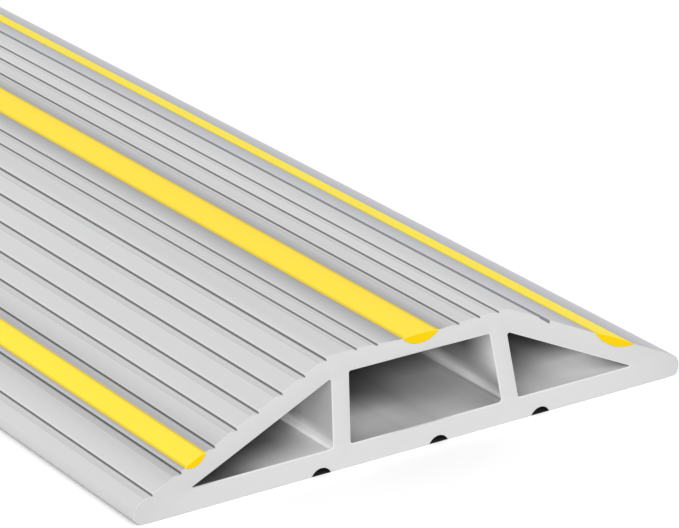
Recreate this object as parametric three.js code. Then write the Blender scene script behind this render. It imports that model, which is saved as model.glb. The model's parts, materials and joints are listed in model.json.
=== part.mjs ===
// A ten-foot length of floor cord cover: one soft grey extrusion with three cord channels,
// fine tread grooves along its top and three yellow warning stripes bonded into round seats.
// X runs across the cover, Y along it and Z up from the floor. Sizes are in millimetres.
import * as THREE from "three";

// Driving dimensions of the whole cover
const coverLength = 3048;
const coverWidth = 76;
const deckHeight = 14.3;
const shoulderHalfWidth = 12.4;
const shoulderRadius = 3;

// The deck is dished a little towards the stripe along its middle
const dishHalfWidth = 8.6;
const dishDepth = 0.3;

// The toe is a blunt nose, rounder above than below
const toeHeight = 2.3;
const toeTopRadius = 1.6;
const toeBottomRadius = 1.15;

// Walls around the three channels
const baseThickness = 2.8;
const deckThickness = 2.5;
const rampThickness = 2.65;
const webThickness = 2.4;
const leftWeb = { topX: -11.0, footX: -10.7 };
const rightWeb = { topX: 10.9, footX: 12.85 };
const channelFloorRadius = 0.35;
const channelRoofRadius = 0.25;
const channelTipRadius = 0.06;

// Tread grooves, each placed by its deep wall, which faces the left toe. The floor rises to a small step.
const grooveStep = 0.08;
const leftRampGrooves = {
  width: 0.7,
  depth: 0.37,
  xs: [-35.7, -32, -27.65, -24.75, -21.9, -18.75, -15.75, -12.9],
};
const deckGrooves = { width: 0.7, depth: 0.25, xs: [-8.7, -5.85, 5.4, 8.35, 11.05] };
const rightRampGrooves = { width: 1.9, depth: 0.42, xs: [18.5] };

// Warning stripes and the round seats that they fill
const middleStripe = { width: 5.1, depth: 1.05 };
const leftStripe = { x: -30.1, width: 3, depth: 0.75 };
const rightStripe = { x: 28.1, width: 6.7, depth: 0.9 };
const stripeCrown = 0.15;

// Shallow round notches under the base
const notchWidth = 2.6;
const notchHeight = 0.8;
const notchXs = [-13.5, 2.7, 17.3];

// How finely the round stretches are cut
const seatSteps = 12;
const crownSteps = 6;
const notchSteps = 12;
const cornerSteps = 6;

const point = (x, y) => new THREE.Vector2(x, y);
const mirrored = (points) => points.map((p) => point(-p.x, p.y)).reverse();

// The points of a round corner of the given radius at b, on the way from a to c.
function roundedCorner(a, b, c, radius, steps = cornerSteps) {
  const toA = a.clone().sub(b).normalize();
  const toC = c.clone().sub(b).normalize();
  const halfAngle = Math.acos(toA.dot(toC)) / 2;
  const reach = radius / Math.tan(halfAngle);
  const middle = toA.clone().add(toC).normalize();
  const centre = b.clone().addScaledVector(middle, radius / Math.sin(halfAngle));
  const start = b.clone().addScaledVector(toA, reach).sub(centre);
  const end = b.clone().addScaledVector(toC, reach).sub(centre);
  const turn = Math.atan2(start.cross(end), start.dot(end));
  const origin = point(0, 0);
  return Array.from({ length: steps + 1 }, (_, i) =>
    start.clone().rotateAround(origin, (turn * i) / steps).add(centre));
}

// A closed outline with its corners rounded, from a list of { at, radius }.
function roundedOutline(corners) {
  return corners.flatMap(({ at, radius }, i) => {
    const before = corners.at(i - 1).at;
    const after = corners[(i + 1) % corners.length].at;
    return roundedCorner(before, at, after, radius);
  });
}

// Half of the bare top surface, from the middle stripe's edge to the top of the right toe.
const halfWidth = coverWidth / 2;
const toeTop = point(halfWidth, toeHeight);
const toeFoot = point(halfWidth, 0);
const shoulder = point(shoulderHalfWidth, deckHeight);
const dishEdge = point(dishHalfWidth, deckHeight);
const middleStripeEdge = point(middleStripe.width / 2, deckHeight - dishDepth);
const rightTop = [
  middleStripeEdge,
  dishEdge,
  ...roundedCorner(dishEdge, shoulder, toeTop, shoulderRadius),
  ...roundedCorner(shoulder, toeTop, toeFoot, toeTopRadius),
];
const bareTop = [...mirrored(rightTop), ...rightTop];

// Where the bare top surface is at x, with its directions along the surface and out of it.
function surfaceAt(x) {
  const next = bareTop.findIndex((p) => p.x > x);
  const from = bareTop[next - 1];
  const to = bareTop[next];
  const along = to.clone().sub(from).normalize();
  const at = from.clone().lerp(to, (x - from.x) / (to.x - from.x));
  return { at, along, out: point(-along.y, along.x) };
}

// A groove's four corners, from left to right. Its deep wall is at x.
function groovePoints(x, width, depth) {
  const { at: rightLip, along, out } = surfaceAt(x);
  const leftLip = surfaceAt(x - width * along.x).at;
  const below = (lip, drop) => lip.clone().addScaledVector(out, -drop);
  return [leftLip, below(leftLip, grooveStep), below(rightLip, depth), rightLip];
}

// A circular segment's arc on the chord from a to b, bulging by the given height to the left of that way.
function arcOnChord(a, b, height, steps) {
  const chord = b.clone().sub(a);
  const left = point(-chord.y, chord.x).normalize();
  const half = chord.length() / 2;
  const radius = (half * half + height * height) / (2 * Math.abs(height));
  const side = Math.sign(height);
  const centre = a.clone().lerp(b, 0.5).addScaledVector(left, height - side * radius);
  const sweep = 2 * Math.asin(half / radius);
  const origin = point(0, 0);
  return Array.from({ length: steps + 1 }, (_, i) => {
    const spoke = a.clone().sub(centre);
    return spoke.rotateAround(origin, (-side * sweep * i) / steps).add(centre);
  });
}

// A stripe's seat: the arc that the body and the stripe share, from left to right.
function stripeSeat({ x, width, depth }) {
  const { along } = surfaceAt(x);
  const reach = (width / 2) * along.x;
  const left = surfaceAt(x - reach).at;
  const right = surfaceAt(x + reach).at;
  return arcOnChord(left, right, -depth, seatSteps);
}

const middleStripeFarEdge = point(-middleStripeEdge.x, middleStripeEdge.y);
const seats = {
  stripe_left: stripeSeat(leftStripe),
  stripe_middle: arcOnChord(middleStripeFarEdge, middleStripeEdge, -middleStripe.depth, seatSteps),
  stripe_right: stripeSeat(rightStripe),
};

// The top surface with its grooves and seats let in, from the left toe to the right one.
function treadedTop() {
  const grooves = [leftRampGrooves, deckGrooves, rightRampGrooves].flatMap(({ width, depth, xs }) =>
    xs.map((x) => groovePoints(x, width, depth)));
  const cuts = [...grooves, ...Object.values(seats)];
  const spans = cuts.map((cut) => [cut[0].x, cut.at(-1).x]);
  const outsideCuts = (p) => spans.every(([low, high]) => p.x < low || p.x > high);
  const stretches = [...bareTop.filter(outsideCuts).map((p) => [p]), ...cuts];
  return stretches.sort((a, b) => a[0].x - b[0].x).flat();
}

// A notch under the base, from right to left.
function notchPoints(x) {
  const reach = notchWidth / 2;
  return arcOnChord(point(x + reach, 0), point(x - reach, 0), -notchHeight, notchSteps);
}

// The underside, from the right toe to the left one.
function underside() {
  const rightToe = roundedCorner(toeTop, toeFoot, point(0, 0), toeBottomRadius);
  const notches = notchXs.toSorted((a, b) => b - a).flatMap(notchPoints);
  return [...rightToe, ...notches, ...mirrored(rightToe)];
}

// The webs lean, so each one's middle line is given at the base and at the deck.
const roofHeight = deckHeight - deckThickness;
const webSlope = ({ topX, footX }) => (topX - footX) / (roofHeight - baseThickness);

function middleChannel() {
  const reach = webThickness / 2;
  return roundedOutline([
    { at: point(leftWeb.footX + reach, baseThickness), radius: channelFloorRadius },
    { at: point(rightWeb.footX - reach, baseThickness), radius: channelFloorRadius },
    { at: point(rightWeb.topX - reach, roofHeight), radius: channelRoofRadius },
    { at: point(leftWeb.topX + reach, roofHeight), radius: channelRoofRadius },
  ]);
}

// A side channel is a triangle between the base, a web and the ramp, whose wall keeps one thickness.
// It is drawn for the right side. The left one is drawn from its web's mirror image and turned over.
function sideChannel({ topX, footX }) {
  const rampSlope = (toeTop.y - shoulder.y) / (toeTop.x - shoulder.x);
  const drop = rampThickness * Math.hypot(1, rampSlope);
  const innerRampZero = deckHeight - drop - rampSlope * shoulderHalfWidth;
  const wallX = footX + webThickness / 2;
  const lean = webSlope({ topX, footX });
  const peakY = (innerRampZero + rampSlope * (wallX - lean * baseThickness)) / (1 - rampSlope * lean);
  const peak = point(wallX + lean * (peakY - baseThickness), peakY);
  const tip = point((baseThickness - innerRampZero) / rampSlope, baseThickness);
  return roundedOutline([
    { at: point(wallX, baseThickness), radius: channelFloorRadius },
    { at: tip, radius: channelTipRadius },
    { at: peak, radius: channelRoofRadius },
  ]);
}

// Everything is drawn in its section and drawn out along the cover's length.
function extrudedMesh(name, outline, holes, material) {
  const section = new THREE.Shape(outline);
  section.holes = holes.map((points) => new THREE.Path(points));
  const geometry = new THREE.ExtrudeGeometry(section, { depth: coverLength, bevelEnabled: false });
  const mesh = new THREE.Mesh(geometry, material);
  mesh.name = name;
  return mesh;
}

function coverBody() {
  const greyVinyl = new THREE.MeshStandardMaterial({ color: 0xd9d9da, roughness: 0.6, metalness: 0 });
  const leftWebTurned = { topX: -leftWeb.topX, footX: -leftWeb.footX };
  const channels = [middleChannel(), sideChannel(rightWeb), mirrored(sideChannel(leftWebTurned))];
  return extrudedMesh("cover_body", [...treadedTop(), ...underside()].reverse(), channels, greyVinyl);
}

// A stripe fills its seat and stands a little proud of the surface as a low crown.
function stripe(name) {
  const yellowVinyl = new THREE.MeshStandardMaterial({ color: 0xffe34a, roughness: 0.5, metalness: 0 });
  const seat = seats[name];
  const crown = arcOnChord(seat[0], seat.at(-1), stripeCrown, crownSteps);
  const outline = [...seat, ...crown.slice(1, -1).reverse()];
  return extrudedMesh(name, outline, [], yellowVinyl);
}

const cover = new THREE.Group();
cover.add(coverBody(), ...Object.keys(seats).map(stripe));
cover.rotation.x = Math.PI / 2;
cover.position.y = coverLength / 2;

export default cover;
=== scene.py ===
# %% [markdown]
# # A floor cord cover, drawn out like the real thing
# A cord cover is made by pushing soft vinyl through a shaped hole, so it is one section drawn out along its
# length. This lesson draws that section once, lets Geometry Nodes pull it to its full length, and then
# spends its time on the finish: soft grey vinyl, yellow stripes and dust that gathers in the fine grooves.
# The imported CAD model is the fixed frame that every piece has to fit.

# %% Load the frame
import json
import math
from typing import NamedTuple

import bmesh
import bpy
from mathutils import Matrix, Vector

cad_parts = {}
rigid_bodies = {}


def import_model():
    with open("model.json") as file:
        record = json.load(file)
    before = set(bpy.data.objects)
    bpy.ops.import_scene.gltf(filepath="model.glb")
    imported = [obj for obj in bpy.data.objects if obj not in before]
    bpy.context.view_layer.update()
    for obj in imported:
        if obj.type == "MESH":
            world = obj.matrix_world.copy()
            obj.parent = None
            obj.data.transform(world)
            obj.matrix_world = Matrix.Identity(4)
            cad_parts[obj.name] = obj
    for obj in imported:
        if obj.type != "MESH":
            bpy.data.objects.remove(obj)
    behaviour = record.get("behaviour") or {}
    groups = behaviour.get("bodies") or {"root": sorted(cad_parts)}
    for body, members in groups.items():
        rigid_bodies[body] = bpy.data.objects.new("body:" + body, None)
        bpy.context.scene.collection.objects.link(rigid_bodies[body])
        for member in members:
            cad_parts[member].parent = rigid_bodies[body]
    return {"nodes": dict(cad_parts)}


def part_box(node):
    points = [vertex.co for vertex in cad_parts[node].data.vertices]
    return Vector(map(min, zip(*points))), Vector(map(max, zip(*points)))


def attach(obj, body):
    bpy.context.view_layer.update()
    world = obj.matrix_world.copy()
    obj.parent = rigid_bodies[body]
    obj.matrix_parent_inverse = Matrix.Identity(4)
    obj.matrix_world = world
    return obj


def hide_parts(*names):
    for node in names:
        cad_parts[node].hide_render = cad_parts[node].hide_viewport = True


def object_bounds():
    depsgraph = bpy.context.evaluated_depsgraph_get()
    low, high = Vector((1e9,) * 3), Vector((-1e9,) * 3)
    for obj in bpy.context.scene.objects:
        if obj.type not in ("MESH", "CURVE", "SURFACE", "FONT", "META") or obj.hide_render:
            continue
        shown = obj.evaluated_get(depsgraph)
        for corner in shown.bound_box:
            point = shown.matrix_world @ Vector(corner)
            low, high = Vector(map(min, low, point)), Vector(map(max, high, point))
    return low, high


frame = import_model()
cad_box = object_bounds()
MM = 0.001
scene = bpy.context.scene
print("nodes:", sorted(frame["nodes"]))
print("CAD box in mm:", [round(v / MM, 2) for corner in cad_box for v in corner])

# %% [markdown]
# ## The camera
# The photograph looks at one cut end from the left and from above, through a long lens. A camera could be
# placed by eye, but it is easier to keep four readings and let the script work out the rest: the direction
# it looks in, how far off the cut end is, and where the middle of the cut end's foot lands in the picture.
# The lens is worked out from the picture's width in pixels, so no number depends on the render size.

# %% Place the camera
PICTURE = (679, 528)
FOCAL_PIXELS = 3600.0
CAMERA_AZIMUTH = math.radians(-34.1)
CAMERA_ELEVATION = math.radians(21.6)
CAMERA_ROLL = math.radians(0.2)
FOOT_IN_PICTURE = (419.5, 447.1)
FOOT_DISTANCE = 412.2 * MM

near_end_y = cad_box[0].y
foot = Vector((0, near_end_y, 0))
toward_camera = Vector((
    math.sin(CAMERA_AZIMUTH) * math.cos(CAMERA_ELEVATION),
    -math.cos(CAMERA_AZIMUTH) * math.cos(CAMERA_ELEVATION),
    math.sin(CAMERA_ELEVATION)))
forward = -toward_camera
level = forward.cross(Vector((0, 0, 1))).normalized()
upright = level.cross(forward)
cos_roll, sin_roll = math.cos(CAMERA_ROLL), math.sin(CAMERA_ROLL)
right = cos_roll * level + sin_roll * upright
up = cos_roll * upright - sin_roll * level
foot_right = (FOOT_IN_PICTURE[0] - PICTURE[0] / 2) / FOCAL_PIXELS * FOOT_DISTANCE
foot_down = (FOOT_IN_PICTURE[1] - PICTURE[1] / 2) / FOCAL_PIXELS * FOOT_DISTANCE
place = foot - right * foot_right + up * foot_down - forward * FOOT_DISTANCE

camera_data = bpy.data.cameras.new("camera")
camera_data.sensor_width = 36.0
camera_data.lens = FOCAL_PIXELS / PICTURE[0] * camera_data.sensor_width
camera_data.clip_start = 0.01
camera = bpy.data.objects.new("camera", camera_data)
scene.collection.objects.link(camera)
turn = Matrix((right, up, toward_camera)).transposed()
camera.matrix_world = Matrix.Translation(place) @ turn.to_4x4()
scene.camera = camera
print("lens in mm:", round(camera_data.lens, 1), "camera at:", [round(v, 4) for v in place])

# %% [markdown]
# ## Shader maths in plain expressions
# A finish is a sum of small effects: mottling, streaks, dust. Wiring each sum by hand in the node editor is
# slow to read, so one small class wraps a socket and turns + - * into Math nodes. Every other node comes
# from one method that takes its type, its settings and its inputs.

# %% Wires that do sums
class Wire:
    """One output socket, with arithmetic that adds Math nodes."""

    def __init__(self, socket):
        self.socket = socket

    def math(self, operation, other=None, swap=False):
        node = self.socket.id_data.nodes.new("ShaderNodeMath")
        node.operation = operation
        first, second = (other, self) if swap else (self, other)
        for index, value in enumerate((first, second)):
            if value is not None:
                plug(node.inputs[index], value)
        return Wire(node.outputs[0])

    def __add__(self, other):
        return self.math("ADD", other)

    __radd__ = __add__

    def __mul__(self, other):
        return self.math("MULTIPLY", other)

    __rmul__ = __mul__

    def __sub__(self, other):
        return self.math("SUBTRACT", other)

    def __rsub__(self, other):
        return self.math("SUBTRACT", other, swap=True)

    def power(self, other):
        return self.math("POWER", other)

    def clamped(self):
        node = (self * 1.0).socket.node
        node.use_clamp = True
        return Wire(node.outputs[0])


def plug(socket, value):
    """Links a wire to a socket, or sets the socket's own value."""
    if isinstance(value, Wire):
        socket.id_data.links.new(value.socket, socket)
    else:
        socket.default_value = value


print("a wire adds, subtracts and multiplies")

# %% A finish and its nodes
class Finish:
    """A material whose nodes are made by one method."""

    def __init__(self, name):
        self.material = bpy.data.materials.new(name)
        self.material.use_nodes = True
        self.tree = self.material.node_tree
        self.tree.nodes.clear()
        self.shader = self.node("ShaderNodeBsdfPrincipled")
        self.node("ShaderNodeOutputMaterial", Surface=Wire(self.shader.outputs[0]))
        self.place = self.wire("ShaderNodeTexCoord", output="Object")

    def node(self, kind, settings=None, **inputs):
        node = self.tree.nodes.new(kind)
        for name, value in (settings or {}).items():
            setattr(node, name, value)
        for name, value in inputs.items():
            plug(node.inputs[name.replace("_", " ")], value)
        return node

    def wire(self, kind, settings=None, output=0, **inputs):
        return Wire(self.node(kind, settings, **inputs).outputs[output])

    def set(self, **inputs):
        for name, value in inputs.items():
            plug(self.shader.inputs[name.replace("_", " ")], value)

    def noise(self, stretch, detail=2.0, offset=0.0):
        """Noise about zero, with a size in 1/m for each axis."""
        moved = self.wire(
            "ShaderNodeMapping", Vector=self.place, Scale=stretch, Location=(offset, offset, offset))
        value = self.wire("ShaderNodeTexNoise", output="Fac", Vector=moved, Scale=1.0, Detail=detail)
        return value - 0.5

    def attribute(self, name):
        return self.wire("ShaderNodeAttribute", {"attribute_name": name}, output="Fac")

    def tint(self, colour, amount):
        """A colour times a number that changes over the surface."""
        grey = self.wire("ShaderNodeCombineColor", Red=amount, Green=amount, Blue=amount)
        return self.mix("MULTIPLY", 1.0, colour, grey)

    def mix(self, blend, amount, first, second):
        """Two colours mixed. The node keeps its colour sockets behind those for numbers."""
        node = self.node("ShaderNodeMix", {"data_type": "RGBA", "blend_type": blend})
        for index, value in zip(COLOUR_MIX_INPUTS, (amount, first, second)):
            plug(node.inputs[index], value)
        return Wire(node.outputs[COLOUR_MIX_OUTPUT])

    def bump(self, height, strength):
        return self.wire("ShaderNodeBump", Height=height, Distance=BUMP_DISTANCE, Strength=strength)


COLOUR_MIX_INPUTS = (0, 6, 7)
COLOUR_MIX_OUTPUT = 2
BUMP_DISTANCE = 0.02 * MM
print("bump distance in mm:", BUMP_DISTANCE / MM)

# %% [markdown]
# ## The section
# The section is the shape of the hole that the vinyl was pushed through. It could be sketched by hand, but
# then a groove would be hard to move. Here the bare top surface comes first, and each groove and stripe seat
# is then let into it at its place. Sizes are in millimetres, as in the CAD source: X across, and Y up.
# Each place on it is kept as a spot, which also knows its painted shades: 1 where nothing is painted, less at
# a groove's foot. There are four of them, because a channel's wall is painted differently at its mouth and
# further in.

# %% Sizes of the section
WIDTH = 76.0
DECK_HEIGHT = 14.3
SHOULDER_X = 12.4
SHOULDER_RADIUS = 3.0
DISH_X = 8.6
DISH_DEPTH = 0.3
TOE_HEIGHT = 2.3
TOE_TOP_RADIUS = 1.6
TOE_BOTTOM_RADIUS = 1.15
BASE_THICKNESS = 2.8
DECK_THICKNESS = 2.5
RAMP_THICKNESS = 2.65
WEB_THICKNESS = 2.4
LEFT_WEB = (-11.0, -10.7)
RIGHT_WEB = (10.9, 12.85)
CHANNEL_CORNERS = {"floor": 0.35, "roof": 0.25, "tip": 0.06}
GROOVE_STEP = 0.08

# Width, depth and the places of the deep walls
GROOVES = {
    "left ramp": (0.7, 0.37, (-35.7, -32.0, -27.65, -24.75, -21.9, -18.75, -15.75, -12.9)),
    "deck": (0.7, 0.25, (-8.7, -5.85, 5.4, 8.35, 11.05)),
    "right ramp": (1.9, 0.42, (18.5,)),
}

# Place, width and depth of the seat
STRIPES = {
    "stripe_left": (-30.1, 3.0, 0.75),
    "stripe_middle": (0.0, 5.1, 1.05),
    "stripe_right": (28.1, 6.7, 0.9),
}
STRIPE_CROWN = 0.15
NOTCH_WIDTH = 2.6
NOTCH_HEIGHT = 0.8
NOTCHES = (-13.5, 2.7, 17.3)
print("grooves:", sum(len(xs) for _, _, xs in GROOVES.values()), "stripes:", len(STRIPES))

# %% A spot on the section
SHADES = 4
SHADE_STEP = 6.0


def even(shade):
    """The same shade all along the length."""
    return (shade,) * SHADES


class Spot(NamedTuple):
    """A place on the section, with its shades at the sawn end and one, two and three shade steps in, and
    with its share of the edge roll."""
    at: Vector
    shades: tuple = even(1.0)
    roll: float = 1.0


print("shades per spot:", SHADES, "at every", SHADE_STEP, "mm")

# %% [markdown]
# A round corner or a seat is an arc. A curve object could give it, but its points are needed one by one, to
# hang shades on them, so two short functions work them out from the corner or from the ends of the arc.

# %% Round corners and arcs
CORNER_STEPS = 8
CHANNEL_STEPS = 4
SEAT_STEPS = 16
CROWN_STEPS = 8
NOTCH_STEPS = 14


def turned(v, angle):
    c, s = math.cos(angle), math.sin(angle)
    return Vector((c * v.x - s * v.y, s * v.x + c * v.y))


def mirrored(points):
    return [Vector((-p.x, p.y)) for p in reversed(points)]


def rounded(a, b, c, radius, steps=CORNER_STEPS):
    """The arc of a round corner at b, on the way from a to c."""
    to_a, to_c = (a - b).normalized(), (c - b).normalized()
    half = math.acos(to_a.dot(to_c)) / 2
    centre = b + (to_a + to_c).normalized() * (radius / math.sin(half))
    start = b + to_a * (radius / math.tan(half)) - centre
    end = b + to_c * (radius / math.tan(half)) - centre
    sweep = math.atan2(start.x * end.y - start.y * end.x, start.dot(end))
    return [centre + turned(start, sweep * i / steps) for i in range(steps + 1)]


def arc(a, b, height, steps):
    """A circle's arc from a to b that rises by height to the left of that way."""
    chord = b - a
    left = Vector((-chord.y, chord.x)).normalized()
    half = chord.length / 2
    radius = (half * half + height * height) / (2 * abs(height))
    side = math.copysign(1, height)
    centre = (a + b) / 2 + left * (height - side * radius)
    sweep = -side * 2 * math.asin(half / radius)
    return [centre + turned(a - centre, sweep * i / steps) for i in range(steps + 1)]


# %% The bare top surface
toe_top = Vector((WIDTH / 2, TOE_HEIGHT))
toe_foot = Vector((WIDTH / 2, 0))
shoulder = Vector((SHOULDER_X, DECK_HEIGHT))
dish_edge = Vector((DISH_X, DECK_HEIGHT))
stripe_edge = Vector((STRIPES["stripe_middle"][1] / 2, DECK_HEIGHT - DISH_DEPTH))
right_top = [
    stripe_edge,
    dish_edge,
    *rounded(dish_edge, shoulder, toe_top, SHOULDER_RADIUS),
    *rounded(shoulder, toe_top, toe_foot, TOE_TOP_RADIUS),
]
bare_top = mirrored(right_top) + right_top


def surface_at(x):
    """The place, the direction along and the direction out of the bare top surface at x."""
    after = next(i for i, p in enumerate(bare_top) if p.x > x)
    a, b = bare_top[after - 1], bare_top[after]
    along = (b - a).normalized()
    return a.lerp(b, (x - a.x) / (b.x - a.x)), along, Vector((-along.y, along.x))


print("bare top surface:", len(bare_top), "points")

# %% [markdown]
# ## Grooves, seats and notches
# A tread groove is a tiny saw tooth: a short step on its left, a sloping floor, and a deep wall on its right.
# It could be cut with a boolean, but on a drawn section it is simply four corners, so it is written into the
# outline. The grooves read as dark lines, so the spots at the foot of the deep wall carry painted shade, and
# the lip above them carries a painted highlight, a lighter line. A faint line of painted shade also lies
# beside the short step. The right shoulder is painted a shade paler than the rest, as painted light, and the
# ramp beyond it darker, as painted shade.

# %% A groove and a seat
LIP = 0.05
HIGHLIGHT_REACH = 0.35
FINE_ROLL = 0.15


def groove(x, width, depth):
    """A groove's spots from left to right."""
    right_lip, along, out = surface_at(x)
    left_lip = surface_at(x - width * along.x)[0]
    highlight_end = surface_at(x + HIGHLIGHT_REACH * along.x)[0]
    step_foot = left_lip - out * GROOVE_STEP
    wall_foot = right_lip - out * depth
    # Painted shade at the deep wall's foot and in a faint line beside the step, painted light on the sloping
    # floor, and a painted highlight on the lip.
    shaded = [
        (left_lip - along * 7 * LIP, 1.0),
        (left_lip - along * 5 * LIP, 0.84),
        (left_lip - along * 3 * LIP, 0.84),
        (left_lip - along * LIP, 1.0),
        (left_lip, 0.97),
        (step_foot + along * LIP, 0.97),
        (step_foot.lerp(wall_foot, 0.3), 1.12),
        (step_foot.lerp(wall_foot, 0.75), 1.12),
        (wall_foot - along * LIP, 0.5),
        (wall_foot, 0.4),
        (right_lip - out * LIP, 0.5),
        (right_lip + along * LIP, 1.16),
        (right_lip + along * 3 * LIP, 1.09),
        (highlight_end, 1.0),
    ]
    return [Spot(p, even(shade), FINE_ROLL) for p, shade in shaded]


def seat(name):
    """The round seat that a stripe fills, from left to right."""
    x, width, depth = STRIPES[name]
    if x == 0:
        return arc(Vector((-stripe_edge.x, stripe_edge.y)), stripe_edge, -depth, SEAT_STEPS)
    along = surface_at(x)[1]
    reach = width / 2 * along.x
    return arc(surface_at(x - reach)[0], surface_at(x + reach)[0], -depth, SEAT_STEPS)


print("seats:", {name: len(seat(name)) for name in STRIPES}, "points")

# %% The top with all that is let into it
# Painted light on the right shoulder, and painted shade on the top past the groove at 18.4 mm.
PAINTED_LIGHT_FROM_X = 8.4
PAINTED_LIGHT_TONE = 1.06
PAINTED_SHADE_FROM_X = 18.4
PAINTED_SHADE_TONE = 0.97
# Painted shade in the seats under the stripes, which also fades out over the top beside each one.
SEAT_PAINTED_SHADE = 0.8


def with_painted_tone(spot):
    """The spot with the painted light or painted shade of its stretch of the top worked in."""
    tone = 1.0
    if spot.at.x > PAINTED_SHADE_FROM_X:
        tone = PAINTED_SHADE_TONE
    elif spot.at.x > PAINTED_LIGHT_FROM_X:
        tone = PAINTED_LIGHT_TONE
    return spot._replace(shades=even(spot.shades[0] * tone))


def treaded_top():
    cuts = [groove(x, width, depth) for width, depth, xs in GROOVES.values() for x in xs]
    cuts += [[Spot(p, even(SEAT_PAINTED_SHADE), FINE_ROLL) for p in seat(name)] for name in STRIPES]
    spans = [(cut[0].at.x, cut[-1].at.x) for cut in cuts]
    plain = [p for p in bare_top if all(not low <= p.x <= high for low, high in spans)]
    runs = cuts + [[Spot(p, roll=FINE_ROLL)] for p in plain]
    return [with_painted_tone(spot) for run in sorted(runs, key=lambda run: run[0].at.x) for spot in run]


top = treaded_top()
print("top:", len(top), "spots")

# %% [markdown]
# The underside is flat, with three notches that keep it from rocking. They look black where one sees into
# them, so their first steps carry painted shade. A spot with no painted shade on each side keeps that painted
# dark off the flats between them.

# %% The underside
NOTCH_PAINTED_SHADES = (0.05, 0.08, 0.4, 0.6)


def underside():
    """From the right toe to the left one, with the notches let in."""
    toe = rounded(toe_top, toe_foot, Vector((0, 0)), TOE_BOTTOM_RADIUS)
    spots = [Spot(p, roll=FINE_ROLL) for p in toe]
    for x in sorted(NOTCHES, reverse=True):
        start, end = Vector((x + NOTCH_WIDTH / 2, 0)), Vector((x - NOTCH_WIDTH / 2, 0))
        notch = arc(start, end, -NOTCH_HEIGHT, NOTCH_STEPS)
        spots.append(Spot(start + Vector((LIP, 0)), roll=FINE_ROLL))
        spots += [Spot(p, NOTCH_PAINTED_SHADES, FINE_ROLL) for p in notch]
        spots.append(Spot(end - Vector((LIP, 0)), roll=FINE_ROLL))
    return spots + [Spot(p, roll=FINE_ROLL) for p in mirrored(toe)]


body_outline = top + underside()
print("body outline:", len(body_outline), "spots")

# %% [markdown]
# ## The channels
# Three channels hold the cords. Each is a closed loop inside the outline: a leaning box in the middle, and a
# triangle under each ramp. Their corners are left tight, because a fresh die cuts them that way.
# Light alone would leave the walls too pale, because light vinyl walls pass light to one another. So the
# walls carry painted shade that darkens quickly past their mouth, and a painted highlight along the webs'
# feet. A channel's painted shades are given at its corners and at a few marks on the walls between them.
# Three are given, and the last one follows from them, because the painted shade fades to the same dark
# further in.

# %% Corners and loops
# The share of the third painted shade that is left past the third step.
LAST_PAINTED_SHARE = 0.35


class Corner(NamedTuple):
    """A corner of a channel, its shades, and the marks on the wall from it to the next corner. A mark is
    its distance from the corner in mm, and its shades."""
    at: Vector
    radius: float
    shades: tuple
    marks: tuple = ()


def channel_loop(corners):
    """The closed loop of a channel, with a spot for each mark."""
    loop = []
    for i, corner in enumerate(corners):
        before, after = corners[i - 1].at, corners[(i + 1) % len(corners)].at
        onward = (after - corner.at).normalized()
        loop += [(p, corner.shades) for p in rounded(before, corner.at, after, corner.radius, CHANNEL_STEPS)]
        loop += [(corner.at + onward * distance, shades) for distance, shades in corner.marks]
    return [Spot(p, (*shades, shades[-1] * LAST_PAINTED_SHARE)) for p, shades in loop]


# %% Draw the channels
roof_height = DECK_HEIGHT - DECK_THICKNESS
floor_r, roof_r, tip_r = (CHANNEL_CORNERS[place] for place in ("floor", "roof", "tip"))
ramp_slope = (toe_top.y - shoulder.y) / (toe_top.x - shoulder.x)
inner_ramp_zero = DECK_HEIGHT - RAMP_THICKNESS * math.hypot(1, ramp_slope) - ramp_slope * SHOULDER_X
print("ramp slope in degrees:", round(math.degrees(math.atan(ramp_slope)), 1))


# The middle channel's painted shades: darker past the mouth, with a painted highlight along the right web's
# foot.
def middle_channel():
    reach = WEB_THICKNESS / 2
    return channel_loop([
        Corner(Vector((LEFT_WEB[1] + reach, BASE_THICKNESS)), floor_r, (0.4, 0.85, 0.45), (
            (5.0, (0.65, 1.0, 0.5)),
            (8.0, (0.95, 1.35, 0.33)),
            (11.0, (1.02, 1.0, 0.55)),
            (15.0, (0.76, 0.64, 0.72)),
            (20.4, (0.4, 0.62, 0.9)))),
        Corner(Vector((RIGHT_WEB[1] - reach, BASE_THICKNESS)), floor_r, (0.46, 0.68, 0.86), (
            (0.45, (0.85, 1.3, 1.3)),
            (0.8, (1.05, 1.75, 1.6)),
            (1.4, (0.6, 1.7, 1.75)),
            (2.2, (0.48, 0.97, 1.2)),
            (3.1, (0.74, 0.64, 0.4)),
            (4.6, (1.15, 0.42, 0.2)),
            (6.5, (1.25, 0.05, 0.05)))),
        Corner(Vector((RIGHT_WEB[0] - reach, roof_height)), roof_r, (0.9, 0.05, 0.05)),
        Corner(Vector((LEFT_WEB[0] + reach, roof_height)), roof_r, (0.5, 0.3, 0.2)),
    ])


def side_channel(web, side, foot, tip, peak):
    """Side is 1 on the right and -1 on the left. Foot, tip and peak each give shades and marks."""
    top_x, foot_x = (side * x for x in web)
    wall_x = foot_x + WEB_THICKNESS / 2
    lean = (top_x - foot_x) / (roof_height - BASE_THICKNESS)
    peak_y = (inner_ramp_zero + ramp_slope * (wall_x - lean * BASE_THICKNESS)) / (1 - ramp_slope * lean)
    peak_x = wall_x + lean * (peak_y - BASE_THICKNESS)
    tip_x = (BASE_THICKNESS - inner_ramp_zero) / ramp_slope
    corners = [
        Corner(Vector((side * wall_x, BASE_THICKNESS)), floor_r, *foot),
        Corner(Vector((side * tip_x, BASE_THICKNESS)), tip_r, *tip),
        Corner(Vector((side * peak_x, peak_y)), roof_r, *peak),
    ]
    return channel_loop(corners[::side])


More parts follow.
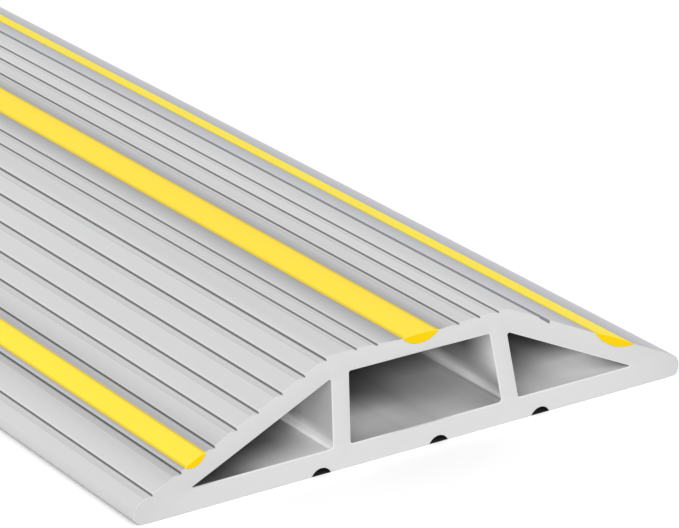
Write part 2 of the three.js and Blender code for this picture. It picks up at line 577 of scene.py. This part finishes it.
# %% The channels' shades
# The side channels' painted shades: a painted highlight along the left web's foot, painted light towards the
# right channel's tip and roof, and painted shade in the left channel's tip and further in.
right_foot = ((0.45, 0.36, 0.25), (
    (3.0, (0.7, 0.43, 0.24)),
    (6.0, (0.72, 0.7, 0.25)),
    (9.0, (0.74, 1.28, 0.55)),
    (12.0, (0.8, 1.75, 0.45))))
right_tip = ((0.67, 1.75, 0.5),)
right_peak = ((1.5, 1.7, 0.9),)
left_tip = ((0.13, 0.08, 0.02), (
    (4.0, (0.13, 0.08, 0.02)),
    (6.0, (0.22, 0.06, 0.02)),
    (10.0, (0.68, 0.1, 0.02)),
    (14.0, (0.87, 0.26, 0.02)),
    (17.0, (0.9, 0.64, 0.03)),
    (18.2, (0.82, 0.95, 0.15))))
left_foot = ((1.12, 1.7, 1.2), (
    (0.7, (1.05, 1.75, 1.4)),
    (1.2, (0.8, 1.4, 0.25)),
    (1.9, (0.82, 0.98, 0.05)),
    (4.5, (0.77, 0.85, 0.05))))
left_peak = ((0.75, 0.85, 0.1),)
channels = [
    middle_channel(),
    side_channel(RIGHT_WEB, 1, right_foot, right_tip, right_peak),
    side_channel(LEFT_WEB, -1, left_foot, left_tip, left_peak),
]
print("channels:", [len(loop) for loop in channels], "spots")

# %% [markdown]
# ## From a drawing to a solid
# The section's loops become a mesh of bare edges. Each point keeps its shades, and the direction in which
# the cut edge rolls in, so that the sawn ends get a hair of roundness where they catch light. Geometry
# Nodes then do the press's work: pull the edges to the full length, roll the ends in, fill them, and turn the
# whole upright. The tree has named inputs, so the same press draws the grey body and each yellow stripe.

# %% The section as edges
def section_mesh(name, loops):
    """Edges of closed loops of spots. Outer loops run clockwise, holes the other way."""
    points, edges, inward = [], [], []
    for loop in loops:
        first = len(points)
        count = len(loop)
        for i, spot in enumerate(loop):
            before, after = loop[i - 1].at, loop[(i + 1) % count].at
            along = ((spot.at - before).normalized() + (after - spot.at).normalized()).normalized()
            points.append((spot.at.x * MM, spot.at.y * MM, 0))
            inward += (along.y * spot.roll, -along.x * spot.roll, 0)
            edges.append((first + i, first + (i + 1) % count))
    mesh = bpy.data.meshes.new(name)
    mesh.from_pydata(points, edges, [])
    for number in range(SHADES):
        values = [spot.shades[number] for loop in loops for spot in loop]
        mesh.attributes.new(f"shade_{number}", "FLOAT", "POINT").data.foreach_set("value", values)
    mesh.attributes.new("inward", "FLOAT_VECTOR", "POINT").data.foreach_set("vector", inward)
    print(name + ":", len(points), "points in", len(loops), "loops")
    return mesh


# %% Helpers for the press
class Tree:
    """A Geometry Nodes tree with named inputs, whose nodes are made by one method."""

    def __init__(self, name, inputs):
        self.tree = bpy.data.node_groups.new(name, "GeometryNodeTree")
        face = self.tree.interface
        face.new_socket("Geometry", in_out="INPUT", socket_type="NodeSocketGeometry")
        self.ids = {
            label: face.new_socket(label, in_out="INPUT", socket_type=kind).identifier
            for label, kind in inputs.items()}
        face.new_socket("Geometry", in_out="OUTPUT", socket_type="NodeSocketGeometry")
        self.source = self.tree.nodes.new("NodeGroupInput")
        self.sink = self.tree.nodes.new("NodeGroupOutput")

    def given(self, label):
        return self.source.outputs[label]

    def feed(self, socket, value):
        if isinstance(value, bpy.types.NodeSocket):
            self.tree.links.new(value, socket)
        else:
            socket.default_value = value

    def add(self, kind, settings=None, **inputs):
        node = self.tree.nodes.new(kind)
        for name, value in (settings or {}).items():
            setattr(node, name, value)
        for name, value in inputs.items():
            self.feed(node.inputs[name.replace("_", " ")], value)
        return node

    def math(self, operation, a, b, kind="ShaderNodeMath"):
        node = self.add(kind, {"operation": operation})
        self.feed(node.inputs[0], a)
        self.feed(node.inputs[1], b)
        return node.outputs[0]

    def lift(self, z):
        return self.add("ShaderNodeCombineXYZ", Z=z).outputs[0]

    def moved(self, geometry, offset, only=True):
        return self.add("GeometryNodeSetPosition", Geometry=geometry, Selection=only,
                        Offset=offset).outputs[0]

    def marked(self, geometry, name):
        return self.add("GeometryNodeStoreNamedAttribute", {"data_type": "FLOAT", "domain": "CORNER"},
                        Geometry=geometry, Name=name, Value=1.0).outputs[0]

    def edges(self, geometry, chosen):
        return self.add("GeometryNodeSeparateGeometry", {"domain": "EDGE"}, Geometry=geometry,
                        Selection=chosen).outputs["Selection"]


# %% [markdown]
# A saw leaves a crisp edge, but not a perfectly sharp one. The roll is drawn in two facets, which together
# turn a quarter circle: each facet steps in by part of the roll and out by the rest. The facets are marked
# as rim and the flat faces as sawn, so that the finish can tell them from the long walls.

# %% Roll in and close one sawn end
diagonal = math.sqrt(0.5)
ROLL_FACETS = ((1 - diagonal, diagonal), (diagonal, 1 - diagonal))
print("facets on a sawn edge:", len(ROLL_FACETS))


def sawn_end(tree, ring, side, half, roll, inward):
    """The facets and the flat face of one end. Side is 1 for the near end and -1 for the far one."""
    parts = []
    for step_in, step_out in ROLL_FACETS:
        strip = tree.add("GeometryNodeExtrudeMesh", {"mode": "EDGES"}, Mesh=ring, Offset_Scale=0.0)
        top = strip.outputs["Top"]
        sideways = tree.add("ShaderNodeVectorMath", {"operation": "SCALE"}, Vector=inward,
                            Scale=tree.math("MULTIPLY", roll, step_in)).outputs[0]
        outward = tree.lift(tree.math("MULTIPLY", roll, side * step_out))
        offset = tree.math("ADD", sideways, outward, "ShaderNodeVectorMath")
        facet = tree.moved(strip.outputs["Mesh"], offset, top)
        parts.append(tree.marked(facet, "rim"))
        ring = tree.edges(facet, top)
    loops = tree.add("GeometryNodeMeshToCurve", Mesh=ring).outputs[0]
    face = tree.add("GeometryNodeFillCurve", {"mode": "TRIANGLES"}, Curve=loops).outputs[0]
    face = tree.moved(face, tree.lift(tree.math("MULTIPLY", half, float(side))))
    parts.append(tree.marked(face, "sawn"))
    return parts


# %% The press
WELD = 0.002 * MM


def make_press():
    """Pulls a flat section to a solid along Y and finishes its sawn ends."""
    tree = Tree("press", {
        "Length": "NodeSocketFloat", "Edge Roll": "NodeSocketFloat", "Material": "NodeSocketMaterial"})
    length, roll = tree.given("Length"), tree.given("Edge Roll")
    half = tree.math("MULTIPLY", length, 0.5)
    inward = tree.add("GeometryNodeInputNamedAttribute", {"data_type": "FLOAT_VECTOR"},
                      Name="inward").outputs["Attribute"]
    start = tree.moved(tree.given("Geometry"), tree.lift(tree.math("SUBTRACT", roll, half)))
    span = tree.math("SUBTRACT", length, tree.math("MULTIPLY", roll, 2.0))
    walls = tree.add("GeometryNodeExtrudeMesh", {"mode": "EDGES"}, Mesh=start, Offset=tree.lift(span))
    wall_mesh, wall_top = walls.outputs["Mesh"], walls.outputs["Top"]
    parts = [wall_mesh]
    parts += sawn_end(tree, start, -1, half, roll, inward)
    parts += sawn_end(tree, tree.edges(wall_mesh, wall_top), 1, half, roll, inward)
    joined = tree.add("GeometryNodeJoinGeometry")
    for part in parts:
        tree.feed(joined.inputs[0], part)
    whole = tree.add("GeometryNodeMergeByDistance", Geometry=joined.outputs[0], Distance=WELD).outputs[0]
    upright = tree.add("GeometryNodeTransform", Geometry=whole, Rotation=(math.pi / 2, 0, 0)).outputs[0]
    real = tree.add("GeometryNodeRealizeInstances", Geometry=upright).outputs[0]
    done = tree.add("GeometryNodeSetMaterial", Geometry=real, Material=tree.given("Material")).outputs[0]
    tree.feed(tree.sink.inputs[0], done)
    return tree


press = make_press()
print("press inputs:", ", ".join(press.ids))

# %% From a section to a finished piece
EDGE_ROLL = 0.12
SMOOTH_BELOW = math.radians(30)


def drawn_piece(name, loops, material):
    """A finished piece: the press's result as a plain mesh that stands for the CAD node."""
    low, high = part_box(name)
    blank = bpy.data.objects.new(name + "_section", section_mesh(name + "_section", loops))
    scene.collection.objects.link(blank)
    modifier = blank.modifiers.new("press", "NODES")
    modifier.node_group = press.tree
    modifier[press.ids["Length"]] = high[1] - low[1]
    modifier[press.ids["Edge Roll"]] = EDGE_ROLL * MM
    modifier[press.ids["Material"]] = material
    graph = bpy.context.evaluated_depsgraph_get()
    mesh = bpy.data.meshes.new_from_object(blank.evaluated_get(graph), depsgraph=graph)
    bpy.data.objects.remove(blank)
    outward = bmesh.new()
    outward.from_mesh(mesh)
    bmesh.ops.recalc_face_normals(outward, faces=outward.faces)
    open_edges = sum(not edge.is_manifold for edge in outward.edges)
    volume = outward.calc_volume()
    outward.to_mesh(mesh)
    outward.free()
    mesh.shade_smooth()
    mesh.set_sharp_from_angle(angle=SMOOTH_BELOW)
    mesh.name = name
    piece = bpy.data.objects.new("drawn_" + name, mesh)
    scene.collection.objects.link(piece)
    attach(piece, "root")
    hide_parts(name)
    print(name, len(mesh.polygons), "faces,", open_edges, "open edges,", round(volume * 1e6, 1), "cm3")
    return piece


# %% [markdown]
# ## Grey vinyl
# The grey is a soft vinyl with a silky, not shiny, face. Its colour drifts a little, the die leaves faint
# lines along its length, and the surface has a fine grain. A plain colour would look like clay, and strong
# noise like stone, so every effect is kept to a few percent. Painted shade darkens the grooves and the valley
# beside each stripe. The spots' shades place the first, and the distance from a stripe the second. A
# channel's wall goes from one of its painted shades to the next with the distance from the nearer end. The
# sawn face gets a painted shade that makes it a little greyer than its rolled rim, which gets a painted
# highlight, and its toes get more painted shade still. The outer face of the right ramp looks away from the
# light, so it gets a painted shade a touch bluer than the rest. It is told from the channel under it by its
# height over the channel's sloping roof. Widths are in millimetres, and shades are shares of 1.

# %% Shades of the grey
HALF_LENGTH = (cad_box[1].y - cad_box[0].y) / 2
SAWN_PAINTED_SHADE = 0.88
TOE_PAINTED_SHADE = 0.09
TOE_FALL = 4.0
RIM_PAINTED_HIGHLIGHT = 1.08
VALLEY_SHADE_FROM = 0.46
VALLEY_SHADE_FALL = 1.6
OUTSIDE_FROM = 1.0
VINYL_IOR = 1.46
GREY = (0.56, 0.56, 0.563, 1)
RIGHT_GREY_PAINTED_SHADE = (0.555, 0.555, 0.59, 1)

# A valley's reach and depth of painted shade for each stripe
VALLEY_SHADES = {"stripe_left": (4.0, 0.3), "stripe_middle": (4.2, 0.32), "stripe_right": (3.0, 0.04)}


def wall_shade(finish):
    """The shade of a long wall, which changes with each step in from a sawn end."""
    along = finish.wire("ShaderNodeSeparateXYZ", output="Y", Vector=finish.place)
    steps_in = (HALF_LENGTH - along.math("ABSOLUTE")) * (1 / (SHADE_STEP * MM))
    shade = finish.attribute("shade_0")
    for number in range(1, SHADES):
        share = (steps_in - (number - 1)).clamped()
        shade = shade + (finish.attribute(f"shade_{number}") - shade) * share
    return shade


def stripe_valley_shade(across, x, half_width, reach, depth):
    """Painted shade beside a stripe: from 0 away from it to depth at its edge."""
    off = (across - x * MM).math("ABSOLUTE") - half_width * MM
    near = (1 - off * (1 / (reach * MM))).clamped()
    return near.power(VALLEY_SHADE_FALL) * depth


print("half length in m:", round(HALF_LENGTH, 4))

# %% The grey finish and the body
def grey_vinyl():
    finish = Finish("grey_vinyl")
    sawn, rim = finish.attribute("sawn"), finish.attribute("rim")
    xyz = finish.node("ShaderNodeSeparateXYZ", Vector=finish.place)
    across, upward = Wire(xyz.outputs["X"]), Wire(xyz.outputs["Z"])
    toward_toe = across.math("ABSOLUTE") * (2 / (WIDTH * MM))
    # Painted shade on the sawn face, more towards the toes, and a painted highlight on the rolled rim.
    sawn_painted_shade = sawn * (SAWN_PAINTED_SHADE - toward_toe.power(TOE_FALL) * TOE_PAINTED_SHADE)
    shade = wall_shade(finish) * (1 - sawn - rim) + sawn_painted_shade + rim * RIM_PAINTED_HIGHLIGHT
    open_face = 1 - sawn
    mottle = finish.noise((60, 25, 60), detail=3) * 0.05
    cloud = finish.noise((14, 7, 14), detail=2, offset=3.0) * 0.04
    die_lines = finish.noise((2600, 3, 2600), detail=2) * 0.05 * open_face
    speck = finish.noise((3500, 3500, 3500), detail=1) * 0.03
    # Painted shade in the valley beside each stripe.
    painted_valleys = 0
    for name, (x, width, _) in STRIPES.items():
        reach, depth = VALLEY_SHADES[name]
        painted_valleys = painted_valleys + stripe_valley_shade(across, x, width * VALLEY_SHADE_FROM, reach, depth)
    tone = (1 + mottle + cloud + die_lines + speck) * shade * (1 - painted_valleys * open_face)
    # A painted shade, a touch bluer, on the outer face of the right ramp past its groove.
    past_groove = across.math("GREATER_THAN", PAINTED_SHADE_FROM_X * MM)
    outside = (upward - across * ramp_slope).math("GREATER_THAN", (inner_ramp_zero + OUTSIDE_FROM) * MM)
    colour = finish.mix("MIX", past_groove * outside * open_face, GREY, RIGHT_GREY_PAINTED_SHADE)
    finish.set(Base_Color=finish.tint(colour, tone))
    rough = 0.52 + finish.noise((180, 40, 180), detail=3, offset=7.0) * 0.16 + sawn * 0.12
    finish.set(Roughness=rough)
    grain = finish.noise((2200, 2200, 2200), detail=3) + finish.noise((4200, 6, 4200)) * open_face
    saw_marks = finish.noise((90, 90, 5200), detail=2, offset=1.0) * sawn
    finish.set(Normal=finish.bump(grain * 0.35 + saw_marks * 0.5, strength=0.6))
    finish.set(IOR=VINYL_IOR)
    return finish.material


grey = grey_vinyl()
body = drawn_piece("cover_body", [body_outline, *channels], grey)

# %% [markdown]
# ## Yellow stripes
# Each stripe is yellow vinyl pressed together with the grey, so it fills a round seat and stands a hair proud
# of it. Shoes polish its top, while the sawn end shows the deeper colour of fresh vinyl. The right stripe's
# top is a more lemon yellow, painted lighter as painted light, because it faces away from the light. A thin
# line of dirt marks where yellow meets grey.

# %% The yellow finish
YELLOW_TOP = (0.94, 0.69, 0.06, 1)
YELLOW_RIGHT_PAINTED_LIGHT = (0.96, 0.77, 0.03, 1)
YELLOW_SAWN = (0.68, 0.455, 0.002, 1)
DULL_SHINE = 0.05


def yellow_vinyl():
    finish = Finish("yellow_vinyl")
    sawn, rim = finish.attribute("sawn"), finish.attribute("rim")
    across = finish.wire("ShaderNodeSeparateXYZ", output="X", Vector=finish.place)
    on_right = across.math("GREATER_THAN", SHOULDER_X * MM)
    shade = finish.attribute("shade_0") * (1 - sawn - rim) + sawn + rim
    mottle = finish.noise((70, 22, 70), detail=3, offset=5.0) * 0.05
    die_lines = finish.noise((2400, 3, 2400), detail=2, offset=2.0) * 0.035 * (1 - sawn)
    speck = finish.noise((3200, 3200, 3200), detail=1) * 0.02
    # The right stripe's top: a more lemon yellow with painted light in it.
    top = finish.mix("MIX", on_right, YELLOW_TOP, YELLOW_RIGHT_PAINTED_LIGHT)
    colour = finish.mix("MIX", sawn, top, YELLOW_SAWN)
    finish.set(Base_Color=finish.tint(colour, (1 + mottle + die_lines + speck) * shade))
    finish.set(Roughness=0.46 + finish.noise((160, 35, 160), detail=3) * 0.14 + sawn * 0.1)
    grain = finish.noise((2400, 2400, 2400), detail=3) + finish.noise((3900, 6, 3900)) * (1 - sawn)
    finish.set(Normal=finish.bump(grain * 0.3, strength=0.5))
    finish.set(IOR=VINYL_IOR, Specular_IOR_Level=DULL_SHINE)
    return finish.material


yellow = yellow_vinyl()
print("yellow finish:", len(yellow.node_tree.nodes), "nodes")

# %% Draw the stripes
DIRT_WIDTH = 0.12
DIRT_SHADE = 0.7

for name in STRIPES:
    bed = seat(name)
    crown = arc(bed[0], bed[-1], STRIPE_CROWN, CROWN_STEPS)
    dirty = [bed[0], bed[0] + (crown[1] - bed[0]).normalized() * DIRT_WIDTH]
    dirty_end = [bed[-1] + (crown[-2] - bed[-1]).normalized() * DIRT_WIDTH, bed[-1]]
    outline = [Spot(p, even(DIRT_SHADE), FINE_ROLL) for p in dirty]
    outline += [Spot(p, roll=FINE_ROLL) for p in crown[1:-1]]
    outline += [Spot(p, even(DIRT_SHADE), FINE_ROLL) for p in dirty_end + bed[-2:0:-1]]
    drawn_piece(name, [outline], yellow)

# %% [markdown]
# ## Floor and light
# The photograph is a studio cut-out: a white ground, no hard shadow, and light from the front left that is so
# soft that every face is nearly the same grey. A wide white dome gives most of that, and one very broad sun
# adds the little that sets the right ramp back and brings the sawn end forward. The floor is white, but no
# light gets under the cover, and a look into the notches should end in the dark. So it is black there.

# %% The floor
FLOOR_REACH = 30.0
FLOOR_WHITE = (0.95, 0.95, 0.95, 1)
FLOOR_PAINTED_SHADOW = (0.01, 0.01, 0.01, 1)
SHADOW_INSET = 1.5

corners = [(x * FLOOR_REACH, y * FLOOR_REACH, 0) for x, y in ((-1, -1), (1, -1), (1, 1), (-1, 1))]
floor_mesh = bpy.data.meshes.new("floor")
floor_mesh.from_pydata(corners, [], [(0, 1, 2, 3)])
floor = bpy.data.objects.new("floor", floor_mesh)
scene.collection.objects.link(floor)
white = Finish("studio_floor")
xyz = white.node("ShaderNodeSeparateXYZ", Vector=white.place)
# Painted shadow: the floor is black under the cover, where no light gets in.
in_width = Wire(xyz.outputs["X"]).math("ABSOLUTE").math("LESS_THAN", (WIDTH / 2 - SHADOW_INSET) * MM)
in_length = Wire(xyz.outputs["Y"]).math("ABSOLUTE").math("LESS_THAN", HALF_LENGTH)
white.set(Base_Color=white.mix("MIX", in_width * in_length, FLOOR_WHITE, FLOOR_PAINTED_SHADOW), Roughness=0.9)
floor_mesh.materials.append(white.material)
print("floor:", 2 * FLOOR_REACH, "m wide")

# %% The lights
DOME_STRENGTH = 0.66
SUN_STRENGTH = 2.5
SUN_FROM = Vector((-0.3, -0.75, 0.59))
SUN_SPREAD = math.radians(60)

world = bpy.data.worlds.new("dome")
world.use_nodes = True
background = world.node_tree.nodes["Background"]
background.inputs["Color"].default_value = (0.985, 0.99, 1.0, 1)
background.inputs["Strength"].default_value = DOME_STRENGTH
scene.world = world
sun_data = bpy.data.lights.new("broad_sun", "SUN")
sun_data.energy = SUN_STRENGTH
sun_data.angle = SUN_SPREAD
sun_data.color = (1.0, 0.995, 0.985)
sun = bpy.data.objects.new("broad_sun", sun_data)
sun.rotation_mode = "QUATERNION"
sun.rotation_quaternion = SUN_FROM.to_track_quat("Z", "Y")
scene.collection.objects.link(sun)
scene.view_settings.view_transform = "Standard"
scene.view_settings.look = "None"
print("dome:", DOME_STRENGTH, "sun:", SUN_STRENGTH)
